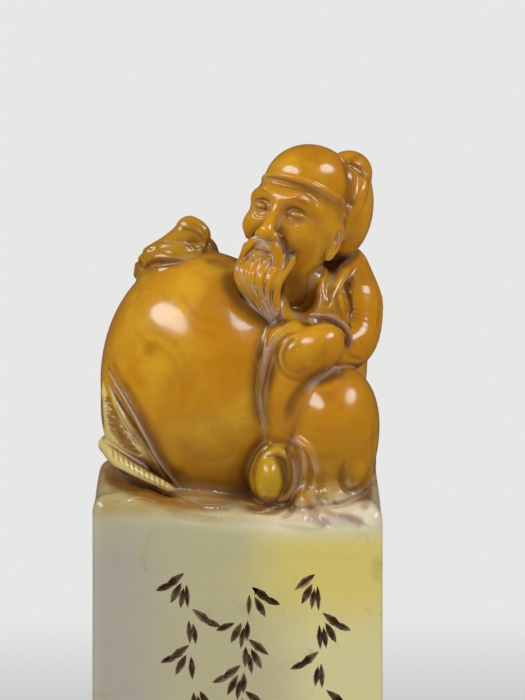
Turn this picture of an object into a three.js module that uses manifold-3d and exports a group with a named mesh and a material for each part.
// A carved stone seal. A square shaft has its printing face below, and its knob is a seated elder
// with a soft cap and a long beard, who leans on a wine jar with a palm-leaf fan tucked under it.
// Millimetres, +Z up. The origin is the middle of the printing face, and the front looks along -Y.
import * as THREE from "three";
import { mergeVertices } from "three/addons/utils/BufferGeometryUtils.js";
import Module from "manifold-3d";

const wasm = await Module();
wasm.setup();

// Driving sizes of the stone
const stoneWidth = 30;
const stoneDepth = 30;
const shaftHeight = 52; // printing face to the middle of the shoulder
const knobHeight = 39.3; // shoulder to the crown
const edgeRadius = 1.3; // worn corners of the shaft
const shoulderFall = 0.075; // the shoulder drops this much per millimetre towards +X
const shoulderRound = 1.1; // depth of the worn edge below the shoulder
const shoulderInset = 2.4; // width of the slope from that edge up to the rock
const ledgeRise = 1.5; // the rocky ledge above the shoulder
const backRise = 3.6; // more rock at the back and the sides
const ledgeRoot = 4; // the ledge's share of the block below the shoulder
const seam = 0.3; // carved line between neighbouring forms
const pocketFine = [12, 6]; // facets round and along the pockets that forms sit in

// Driving sizes of the printing face
const faceThickness = 4;
const reliefDepth = 1.2;
const borderWidth = 1.5;
const strokeWidth = 1.35;
const strokePitch = 2.7;
const fretLegs = 9;

// The knob is drawn for a stone of this size, with heights above the shoulder, and stretches with the stone
const drawn = [30, 30, 39.3];

// Driving sizes of the jar and the head
const jarWidth = 21.4;
const jarDepth = 24.4;
const jarHeight = 28.4;
const jarPlace = [-3.6, -1.1, 13.8];
const jarLean = 3; // degrees, top towards -X
const jarFoot = 0.1; // how much the lower half fills out

const headHeight = 14; // crown to chin
const headWidth = 9.8;
const headDepth = 11;
const headPlace = [6.1, -5.4, 31.2];
const headTilt = 16; // degrees, crown towards +X
const headTurn = 24; // degrees, face towards -X
const headLift = 4; // degrees, chin forward

const amber = 0xc9851c;
const darkAmber = 0xa9660f;
const pale = 0xd8cfa0;

// A direction or a place, from its three numbers
const at = (x, y, z) => new THREE.Vector3(x, y, z);

// Knob geometry, stretched to the stone and lifted onto its shoulder
const stretch = [stoneWidth / drawn[0], stoneDepth / drawn[1], knobHeight / drawn[2]];
const onShoulder = (geometry) => geometry.scale(...stretch).translate(0, 0, shaftHeight);

const turned = (x, y, z) =>
  new THREE.Euler(...[x, y, z].map(THREE.MathUtils.degToRad), "ZYX");

// A closed three.js geometry as a solid that can be cut and joined
function solid(geometry) {
  const bare = geometry.clone();
  for (const name of Object.keys(bare.attributes)) {
    if (name !== "position") bare.deleteAttribute(name);
  }
  const merged = mergeVertices(bare, 1e-4);
  const count = merged.attributes.position.count;
  const index = merged.index.array;
  const kept = [];
  for (let i = 0; i < index.length; i += 3) {
    const [a, b, c] = [index[i], index[i + 1], index[i + 2]];
    if (a !== b && b !== c && c !== a) kept.push(a, b, c);
  }
  return new wasm.Manifold(
    new wasm.Mesh({
      numProp: 3,
      vertProperties: merged.attributes.position.array.slice(0, count * 3),
      triVerts: new Uint32Array(kept),
    }),
  );
}

// The largest body of a cut solid, so that no loose chip is left
function mainBody(cut) {
  return cut.decompose().reduce((a, b) => (b.volume() > a.volume() ? b : a));
}

// A closed skin over rings of equally many points, with a pole at each end
function skin(rings) {
  const sides = rings[0].length;
  const middle = (ring) =>
    ring.reduce((sum, p) => sum.add(p), at(0, 0, 0)).divideScalar(sides);
  const points = [middle(rings[0]), ...rings.flat(), middle(rings.at(-1))];
  const index = [];
  const corner = (ring, side) => 1 + ring * sides + (side % sides);
  const lastPole = points.length - 1;
  for (let side = 0; side < sides; side++) {
    index.push(0, corner(0, side + 1), corner(0, side));
    for (let ring = 0; ring + 1 < rings.length; ring++) {
      const [a, b] = [corner(ring, side), corner(ring, side + 1)];
      const [c, d] = [corner(ring + 1, side), corner(ring + 1, side + 1)];
      index.push(a, b, d, a, d, c);
    }
    index.push(lastPole, corner(rings.length - 1, side), corner(rings.length - 1, side + 1));
  }
  const geometry = new THREE.BufferGeometry().setFromPoints(points);
  return geometry.setIndex(index);
}

// A rounded mass: a sphere stretched to its half sizes, shaped by a formula on its unit point, and turned.
// A grown lobe is the plain pocket that a neighbour is cut back by, with its flats outside the lobe itself.
// Its fullness is 2 for an ellipsoid and more for a squarer mass.
function lobe({ place, half, turn = [0, 0, 0], full = 2, shape, fine = [16, 10] }, grow = 0) {
  const cells = grow ? fine.map((n, i) => Math.min(n, pocketFine[i])) : fine;
  const flats = grow ? Math.cos(Math.PI / cells[0]) * Math.cos(Math.PI / (2 * cells[1])) : 1;
  const geometry = new THREE.SphereGeometry(1, ...cells).rotateX(Math.PI / 2);
  const points = geometry.attributes.position;
  const size = at(...half).addScalar(grow).divideScalar(flats);
  const point = at(0, 0, 0);
  for (let i = 0; i < points.count; i++) {
    point.fromBufferAttribute(points, i);
    const sum = Math.abs(point.x) ** full + Math.abs(point.y) ** full + Math.abs(point.z) ** full;
    point.multiplyScalar(sum ** (-1 / full));
    if (shape) shape(point);
    point.multiply(size);
    points.setXYZ(i, point.x, point.y, point.z);
  }
  const stand = turn.isMatrix4
    ? turn.clone()
    : new THREE.Matrix4().makeRotationFromEuler(turned(...turn));
  return solid(onShoulder(geometry.applyMatrix4(stand.setPosition(...place))));
}

// A tapered form along a smooth path, with its half width across it and its half thickness as it faces.
// Ripples cross the path like pleats and flutes run along it like locks of hair. A grown limb has neither.
function limb(spec, grow = 0) {
  const { path, half, facing = [0, -1, 0], fine = [10, 10] } = spec;
  const { ripples = 0, rippleDepth = 0, flutes = 0, fluteDepth = 0 } = grow ? {} : spec;
  const [sides, steps] = grow ? fine.map((n) => Math.min(n, pocketFine[1])) : fine;
  const flats = grow ? Math.cos(Math.PI / sides) : 1;
  const curve = new THREE.CatmullRomCurve3(path.map((p) => at(...p)), false, "centripetal");
  const outward = at(...facing).normalize();
  const sizeAt = (share, which) => {
    const place = share * (half.length - 1);
    const low = Math.min(Math.floor(place), half.length - 2);
    const size = THREE.MathUtils.lerp(half[low][which], half[low + 1][which], place - low);
    return (size + grow) / flats;
  };
  const ring = (share, along, scale) => {
    const run = curve.getTangentAt(share);
    const across = run.clone().cross(outward).normalize();
    const up = across.clone().cross(run).normalize();
    const centre = curve.getPointAt(share).addScaledVector(run, along);
    const pleat = ripples ? rippleDepth * Math.cos(2 * Math.PI * ripples * share) : 0;
    return Array.from({ length: sides }, (_, i) => {
      const angle = (2 * Math.PI * i) / sides;
      const swell = scale * (1 + pleat + (flutes ? fluteDepth * Math.cos(flutes * angle) : 0));
      return centre
        .clone()
        .addScaledVector(across, swell * sizeAt(share, 0) * Math.cos(angle))
        .addScaledVector(up, swell * sizeAt(share, 1) * Math.sin(angle));
    });
  };
  const rings = [];
  const capAngles = [60, 30].map(THREE.MathUtils.degToRad);
  for (const a of capAngles) rings.push(ring(0, -sizeAt(0, 1) * Math.sin(a), Math.cos(a)));
  for (let i = 0; i <= steps; i++) rings.push(ring(i / steps, 0, 1));
  for (const a of capAngles.toReversed()) rings.push(ring(1, sizeAt(1, 1) * Math.sin(a), Math.cos(a)));
  const made = solid(onShoulder(skin(rings)));
  return made.volume() < 0 ? solid(onShoulder(skin(rings.map((r) => r.toReversed())))) : made;
}

// Points round the shaft's square outline, drawn in by an inset, on each worn corner and along each side
function outlineRing(inset, height) {
  const corners = 4;
  const perSide = 4;
  const [x, y] = [stoneWidth / 2 - inset, stoneDepth / 2 - inset];
  const r = Math.max(edgeRadius - inset / 2, 0.3);
  const points = [];
  for (let quarter = 0; quarter < 4; quarter++) {
    const [cx, cy] = [[x - r, y - r], [r - x, y - r], [r - x, r - y], [x - r, r - y]][quarter];
    for (let i = 0; i < corners; i++) {
      const angle = (Math.PI / 2) * (quarter + i / (corners - 1));
      points.push([cx + r * Math.cos(angle), cy + r * Math.sin(angle)]);
    }
    const [nx, ny] = [[r - x, y - r], [r - x, r - y], [x - r, r - y], [x - r, y - r]][quarter];
    const way = (Math.PI / 2) * (quarter + 1);
    const from = points.at(-1);
    const to = [nx + r * Math.cos(way), ny + r * Math.sin(way)];
    for (let i = 1; i <= perSide; i++) {
      const t = i / (perSide + 1);
      points.push([from[0] + (to[0] - from[0]) * t, from[1] + (to[1] - from[1]) * t]);
    }
  }
  return points.map(([px, py]) => at(px, py, height(px, py)));
}

// A block with the stone's outline, between two heights
const slab = (low, high) => solid(skin([low, high].map((z) => outlineRing(0, () => z))));

// The rock rises this much above the shoulder, and climbs towards the back and the sides
function rockRise(x, y) {
  const [u, v] = [(2 * x) / stoneWidth, (2 * y) / stoneDepth];
  const ripple = 0.25 * Math.sin(5 * u + 1) * Math.cos(4 * v);
  const climb = THREE.MathUtils.smoothstep(v + 0.35 * u * u - 0.1 * u, -0.8, 0.4);
  return ledgeRise + ripple + backRise * climb;
}

// The rocky ledge, from its flat root inside the block up over the worn edge
function ledge(grow = 0) {
  const edge = (x) => shaftHeight - shoulderFall * x - shoulderRound;
  const slope = [0, 25, 50, 75, 90].map(THREE.MathUtils.degToRad);
  const rings = [outlineRing(0, () => shaftHeight - ledgeRoot)];
  for (const a of slope) {
    const climb = (x, y) => (shoulderRound + rockRise(x, y)) * Math.sin(a);
    rings.push(outlineRing(shoulderInset * (1 - Math.cos(a)), (x, y) => edge(x) + climb(x, y) + grow));
  }
  for (const inset of [4.5, 8]) {
    rings.push(outlineRing(inset, (x, y) => edge(x) + shoulderRound + rockRise(x, y) + grow));
  }
  return solid(skin(rings));
}

// One arm of the fret: a square spiral drawn as a band of even width
function fretArm() {
  const line = [[0, 0]];
  const ways = [[1, 0], [0, 1], [-1, 0], [0, -1]];
  for (let leg = 0; leg < fretLegs; leg++) {
    const run = strokePitch * Math.floor((leg + 2) / 2);
    const [x, y] = line.at(-1);
    const [dx, dy] = ways[leg % 4];
    line.push([x + dx * run, y + dy * run]);
  }
  const side = (i, sign) => {
    const normal = (leg) => [-ways[leg % 4][1], ways[leg % 4][0]];
    const before = normal(Math.max(i - 1, 0));
    const after = normal(Math.min(i, fretLegs - 1));
    const ends = i === 0 || i === fretLegs ? 0.5 : 1;
    const reach = (sign * strokeWidth * ends) / 2;
    return new THREE.Vector2(
      line[i][0] + reach * (before[0] + after[0]),
      line[i][1] + reach * (before[1] + after[1]),
    );
  };
  const right = line.map((_, i) => side(i, -1));
  const left = line.map((_, i) => side(i, 1)).toReversed();
  return new THREE.Shape([...right, ...left]);
}

// The printing face: a border and four square spirals stand proud of a sunk ground
function printingFace() {
  const plate = slab(0, faceThickness);
  const half = [stoneWidth / 2 - borderWidth, stoneDepth / 2 - borderWidth];
  const ground = new THREE.BoxGeometry(2 * half[0], 2 * half[1], 2 * reliefDepth);
  const arm = new THREE.ExtrudeGeometry(fretArm(), { depth: 3 * reliefDepth, bevelEnabled: false });
  arm.computeBoundingBox();
  const middle = arm.boundingBox.getCenter(at(0, 0, 0));
  arm.translate(-middle.x, -middle.y, -1.5 * reliefDepth);
  let sunk = solid(ground);
  for (let quarter = 0; quarter < 4; quarter++) {
    const angle = (Math.PI / 2) * quarter;
    const [u, v] = [Math.SQRT2 * Math.cos(angle + Math.PI / 4), Math.SQRT2 * Math.sin(angle + Math.PI / 4)];
    const copy = arm.clone().rotateZ(angle).translate((u * half[0]) / 2, (v * half[1]) / 2, 0);
    sunk = sunk.subtract(solid(copy));
  }
  return plate.subtract(sunk);
}

// The jar, fuller in its lower half
const jar = {
  name: "wine_jar",
  place: jarPlace,
  half: [jarWidth / 2, jarDepth / 2, jarHeight / 2],
  turn: [0, -jarLean, 0],
  fine: [22, 14],
  shape: (p) => {
    const fill = 1 + jarFoot * Math.max(0, -p.z) * (1 - p.z * p.z) ** 0.5;
    p.x *= fill;
    p.y *= fill;
  },
};

// The point of the jar's front, or of its skin lifted off it, seen at this place across and this height
function onJar(x, z, lift = 0) {
  const [cx, cy, cz] = jarPlace;
  const lean = THREE.MathUtils.degToRad(jarLean);
  const [dx, dz] = [x - cx, z - cz];
  const across = dx * Math.cos(lean) + dz * Math.sin(lean);
  const along = dz * Math.cos(lean) - dx * Math.sin(lean);
  const h = along / (jarHeight / 2 + lift);
  const fill = 1 + jarFoot * Math.max(0, -h) * Math.sqrt(Math.max(0, 1 - h * h));
  const u = across / ((jarWidth / 2 + lift) * fill);
  const reach = Math.sqrt(Math.max(0, 1 - h * h - u * u));
  return [x, cy - reach * fill * (jarDepth / 2 + lift), z];
}

// The head has its own frame, in shares of its height and width, before it is tilted and turned
const headStand = new THREE.Matrix4()
  .makeRotationFromEuler(turned(0, headTilt, 0))
  .multiply(new THREE.Matrix4().makeRotationFromEuler(turned(-headLift, 0, -headTurn)));
function onHead(x, y, z) {
  const p = at(x * headWidth, y * headDepth, z * headHeight).applyMatrix4(headStand);
  return [headPlace[0] + p.x, headPlace[1] + p.y, headPlace[2] + p.z];
}

const join = (solids) => solids.reduce((a, b) => a.add(b));
const bothSides = (make) => [-1, 1].map(make);

// The face is a plain one on the usual proportions: eyes half way down, nose and mouth in the thirds below
const noseBase = -0.24;
const mouthLine = -0.335;
const eyeSpread = 0.21;
const earPlace = [0.47, 0.03, -0.07];
function head(grow = 0) {
  const skull = {
    place: headPlace,
    half: [headWidth / 2, headDepth / 2, headHeight / 2],
    turn: headStand,
    fine: [18, 12],
    shape: (p) => {
      p.x *= 1 - 0.17 * Math.max(0, -p.z) ** 1.6;
      p.y *= 1 - 0.08 * Math.max(0, -p.z);
    },
  };
  const neck = {
    place: onHead(0.03, 0.22, -0.46),
    half: [3.2, 3.6, 3.4],
    turn: headStand,
    fine: [12, 8],
  };
  const nose = {
    path: [onHead(0, -0.46, 0.03), onHead(0, -0.52, -0.1), onHead(0, -0.56, noseBase + 0.03)],
    half: [[0.5, 0.5], [0.6, 0.7], [1.0, 0.8]],
    facing: [-0.4, -0.9, 0],
    fine: [8, 3],
  };
  const brows = bothSides((side) => ({
    path: [[0.07, -0.475, 0.075], [0.2, -0.45, 0.105], [0.34, -0.34, 0.075]].map(([x, y, z]) =>
      onHead(side * x, y, z),
    ),
    half: [[0.4, 0.3], [0.5, 0.45], [0.3, 0.3]],
    fine: [6, 3],
  }));
  const eyelids = bothSides((side) => ({
    place: onHead(side * eyeSpread, -0.415, 0.0),
    half: [1.1, 0.55, 0.5],
    turn: headStand,
    fine: [8, 6],
  }));
  const ears = bothSides((side) => ({
    place: onHead(side * earPlace[0], earPlace[1], earPlace[2]),
    half: [0.75, 1.1, 1.7],
    turn: headStand,
    fine: [8, 6],
  }));
  const masses = [skull, neck, ...ears].map((spec) => lobe(spec, grow));
  if (grow) return join(masses);
  const lids = eyelids.map((spec) => lobe(spec));
  const ridges = [nose, ...brows].map((spec) => limb(spec));
  return join([...masses, ...lids, ...ridges]);
}

// Beard and moustache hang from the face and meet where the tip lies on the jar
const beardTip = onJar(3.4, 21.2, 0.35);
const beard = {
  name: "beard",
  path: [onHead(0, -0.34, -0.37), onHead(0.02, -0.42, -0.55), beardTip],
  half: [[2.4, 1.6], [2.1, 2.1], [1.3, 1.5], [0.3, 0.5]],
  facing: [-0.35, -0.9, 0],
  fine: [18, 7],
  flutes: 6,
  fluteDepth: 0.07,
};
const moustaches = bothSides((side) => {
  const beside = onHead(side * 0.17, -0.52, -0.58);
  return {
    name: side > 0 ? "moustache_left" : "moustache_right",
    path: [
      onHead(side * 0.03, -0.53, noseBase - 0.035),
      onHead(side * 0.15, -0.49, noseBase - 0.06),
      onHead(side * 0.21, -0.46, -0.42),
      beside,
      beside.map((v, i) => (v + beardTip[i]) / 2),
    ],
    half: [[0.45, 0.4], [0.75, 0.5], [0.75, 0.55], [0.6, 0.5], [0.25, 0.25]],
    facing: [-0.3, -0.95, 0],
    fine: [8, 8],
  };
});

// The soft cap: a dome down to a rolled edge above the brows, a fuller back and a knot
const capDome = {
  name: "cap_dome",
  place: onHead(0.03, 0.06, 0.25),
  half: [4.95, 5.6, 4.8],
  turn: headStand,
  fine: [20, 12],
};
const capEdge = {
  name: "cap_edge",
  path: [-1, -0.72, -0.38, 0, 0.38, 0.72, 1].map((s) =>
    onHead(0.03 + 0.49 * Math.sin(s * 1.5), 0.06 - 0.53 * Math.cos(s * 1.5), 0.25 - 0.06 * s * s),
  ),
  half: [[0.4, 0.4], [0.5, 0.5], [0.4, 0.4]],
  facing: [0, 0, 1],
  fine: [6, 12],
};
const capBack = {
  name: "cap_back",
  place: [11.2, -1.9, 32.6],
  half: [3.2, 4.6, 5.4],
  turn: [0, 6, 0],
};
const capKnot = {
  name: "cap_knot",
  place: [11.8, -1.4, 36.3],
  half: [2.5, 2.9, 2.4],
};

// Robe, sleeves and the hand hidden in its cuff
const leftSleeve = {
  name: "left_sleeve",
  path: [[10.4, 1.2, 25.0], [11.7, -0.8, 21.6], [11.7, -3.4, 18.2], [9.4, -6.8, 16.8]],
  half: [[3.2, 3.6], [3.1, 3.8], [3.0, 3.4], [2.6, 2.6]],
  facing: [0.3, -1, 0],
  fine: [12, 8],
};
const leftHand = {
  name: "left_hand",
  place: [7.4, -9.9, 17.1],
  half: [3.5, 3.0, 2.6],
  turn: [0, -20, 0],
};
const leftCuff = {
  name: "left_cuff",
  place: [6.3, -9.2, 16.6],
  half: [4.0, 3.2, 4.0],
  turn: [0, -25, 0],
};
const rightSleeve = {
  name: "right_sleeve",
  path: [[4, 3.6, 24.4], [0.4, 4, 25], [-3.6, 3, 26], [-7, 0.8, 26.2]],
  half: [[2.6, 2.4], [2.2, 2.1], [2.0, 1.9], [1.5, 1.4]],
  facing: [0, -0.2, 1],
};
const collars = [0, 1].map((fold) => ({
  name: ["outer_collar", "inner_collar"][fold],
  path: [
    [12.2 - 1.3 * fold, -0.6, 27.2 - 0.5 * fold],
    [10.8 - 1.3 * fold, -4.2, 25.2 - 0.4 * fold],
    [9.5 - 1.2 * fold, -6.8, 22.6],
    [8.7 - 1.1 * fold, -8.2, 20.0],
  ],
  half: [[0.9, 0.7], [0.8, 0.6], [0.8, 0.6], [0.6, 0.5]],
  facing: [-0.3, -0.8, 0.6],
  fine: [8, 7],
}));
const robeChest = {
  name: "robe_chest",
  place: [7.0, -3.2, 20.2],
  half: [4.9, 5.2, 6.8],
};
const robeFront = {
  name: "robe_front",
  place: [5.4, -6.6, 12.4],
  half: [3.9, 5.9, 9.8],
  turn: [0, 4, 0],
};
const robeBody = {
  name: "robe_body",
  place: [7.0, 3.2, 16.4],
  half: [6.9, 8.0, 11.8],
  turn: [0, 3, 0],
  full: 2.4,
};
const robeSeat = {
  name: "robe_seat",
  place: [7.9, 4.0, 6.4],
  half: [7.0, 9.2, 8.6],
  full: 2.3,
};
const knee = {
  name: "raised_knee",
  place: [9.55, -6.3, 8.0],
  half: [5.25, 7.3, 8.0],
  turn: [0, 8, 0],
  full: 2.15,
  fine: [18, 12],
};
const hemFolds = [
  { name: "hem_fold_right", place: [12.3, -9.2, 4.6], half: [1.8, 3.4, 2.5] },
  { name: "hem_fold_left", place: [9.6, -9.6, 2.0], half: [2.7, 3.6, 1.7] },
].map((spec) => ({ ...spec, fine: [12, 8] }));
const shoe = {
  name: "left_shoe",
  place: [3.4, -10.9, 4.0],
  half: [1.55, 2.8, 2.5],
};
const trouserCuff = {
  name: "trouser_cuff",
  place: [4.35, -9.3, 4.6],
  half: [3.05, 3.7, 3.75],
};

// The jar's cloth cover is bunched to a peak in broad wrapped folds, over a skirt with one loose corner
const jarCover = {
  name: "jar_cover",
  path: [[-6.9, -1.4, 26.6], [-6.0, -1.4, 28.2], [-5.2, -1.4, 29.9]],
  half: [[3.7, 3.6], [3.1, 3.0], [1.5, 1.5]],
  fine: [12, 10],
  ripples: 3,
  rippleDepth: 0.04,
};
const coverSkirt = {
  name: "cover_skirt",
  place: [-6.7, -1.4, 26.0],
  half: [4.9, 4.8, 1.9],
  turn: [0, -18, 0],
};
const coverKnot = {
  name: "cover_knot",
  place: [-3.1, 0.2, 27.4],
  half: [1.7, 2.0, 2.2],
  fine: [12, 8],
};

// The palm-leaf fan lies against the jar's left side, its bound rim on the ledge
const fanRim = {
  name: "fan_rim",
  path: [[-14.05, -3.0, 7.5], [-12.4, -7.4, 6.1], [-9.9, -10.4, 4.7], [-7.3, -12.2, 3.2]],
  half: [[0.85, 0.85], [0.78, 0.8], [0.68, 0.7], [0.45, 0.45]],
  fine: [8, 18],
  ripples: 6,
  rippleDepth: 0.05,
};
const fanMidrib = {
  name: "fan_midrib",
  path: [onJar(-13.4, 14.6, 0), onJar(-11.9, 11.4, 0.1), onJar(-10.0, 8.0, 0.1), onJar(-7.4, 4.2, 0)],
  half: [[0.2, 0.3], [0.65, 0.5], [0.75, 0.5], [0.4, 0.4]],
  facing: [-0.5, -0.9, 0],
};
const leafLift = 0.45; // the leaf stands this proud of the jar
const fanReach = {
  path: [[-12.4, -2.6, 15], [-11.7, -4.6, 10.4], [-10.2, -6.6, 5]],
  half: [[0.4, 1.4], [2.4, 2.4], [4.1, 3.2]],
  facing: [-0.75, -0.7, 0],
};
function fanLeaf(grow = 0) {
  const reach = limb(fanReach, grow);
  return grow ? reach : reach.intersect(lobe(jar, leafLift));
}

const asLobe = (spec, colour = amber) => ({ name: spec.name, colour, form: (grow) => lobe(spec, grow) });
const asLimb = (spec, colour = amber) => ({ name: spec.name, colour, form: (grow) => limb(spec, grow) });

// Each form keeps its shape against all those after it, which stop a seam short of it
const forms = [
  { name: "rock_ledge", colour: pale, form: ledge },
  asLobe(shoe),
  ...hemFolds.map((fold) => asLobe(fold, darkAmber)),
  asLobe(trouserCuff, darkAmber),
  asLobe(leftHand),
  asLobe(leftCuff, darkAmber),
  asLobe(knee),
  ...moustaches.map((spec) => asLimb(spec)),
  asLimb(beard),
  asLimb(capEdge),
  asLobe(capKnot),
  asLobe(capDome),
  { name: "head", colour: amber, form: head },
  asLobe(capBack),
  ...collars.map((spec) => asLimb(spec, darkAmber)),
  asLimb(leftSleeve),
  asLimb(fanRim),
  asLimb(fanMidrib),
  { name: "fan_leaf", colour: darkAmber, form: fanLeaf },
  asLobe(coverKnot),
  asLimb(jarCover),
  asLobe(coverSkirt, darkAmber),
  asLobe(robeFront, darkAmber),
  asLobe(jar),
  asLobe(robeChest, darkAmber),
  asLimb(rightSleeve),
  asLobe(robeBody),
  asLobe(robeSeat),
];

function named(name, made, colour) {
  const mesh = made.getMesh();
  const step = mesh.numProp;
  const points = new Float32Array(mesh.numVert * 3);
  for (let i = 0; i < mesh.numVert; i++) {
    points.set(mesh.vertProperties.subarray(i * step, i * step + 3), 3 * i);
  }
  const geometry = new THREE.BufferGeometry()
    .setAttribute("position", new THREE.BufferAttribute(points, 3))
    .setIndex(new THREE.BufferAttribute(mesh.triVerts, 1));
  geometry.computeVertexNormals();
  const material = new THREE.MeshStandardMaterial({ color: colour, roughness: 0.32, metalness: 0 });
  const node = new THREE.Mesh(geometry, material);
  node.name = name;
  return node;
}

const seal = new THREE.Group();
seal.add(named("printing_face", printingFace(), pale));
seal.add(named("stone_shaft", slab(faceThickness, shaftHeight - ledgeRoot), pale));
let carved = null;
for (const { name, colour, form } of forms) {
  const whole = form(0);
  const own = carved ? mainBody(whole.subtract(carved)) : whole;
  seal.add(named(name, own, colour));
  const kept = form(seam);
  carved = carved ? carved.add(kept) : kept;
}

export default seal;
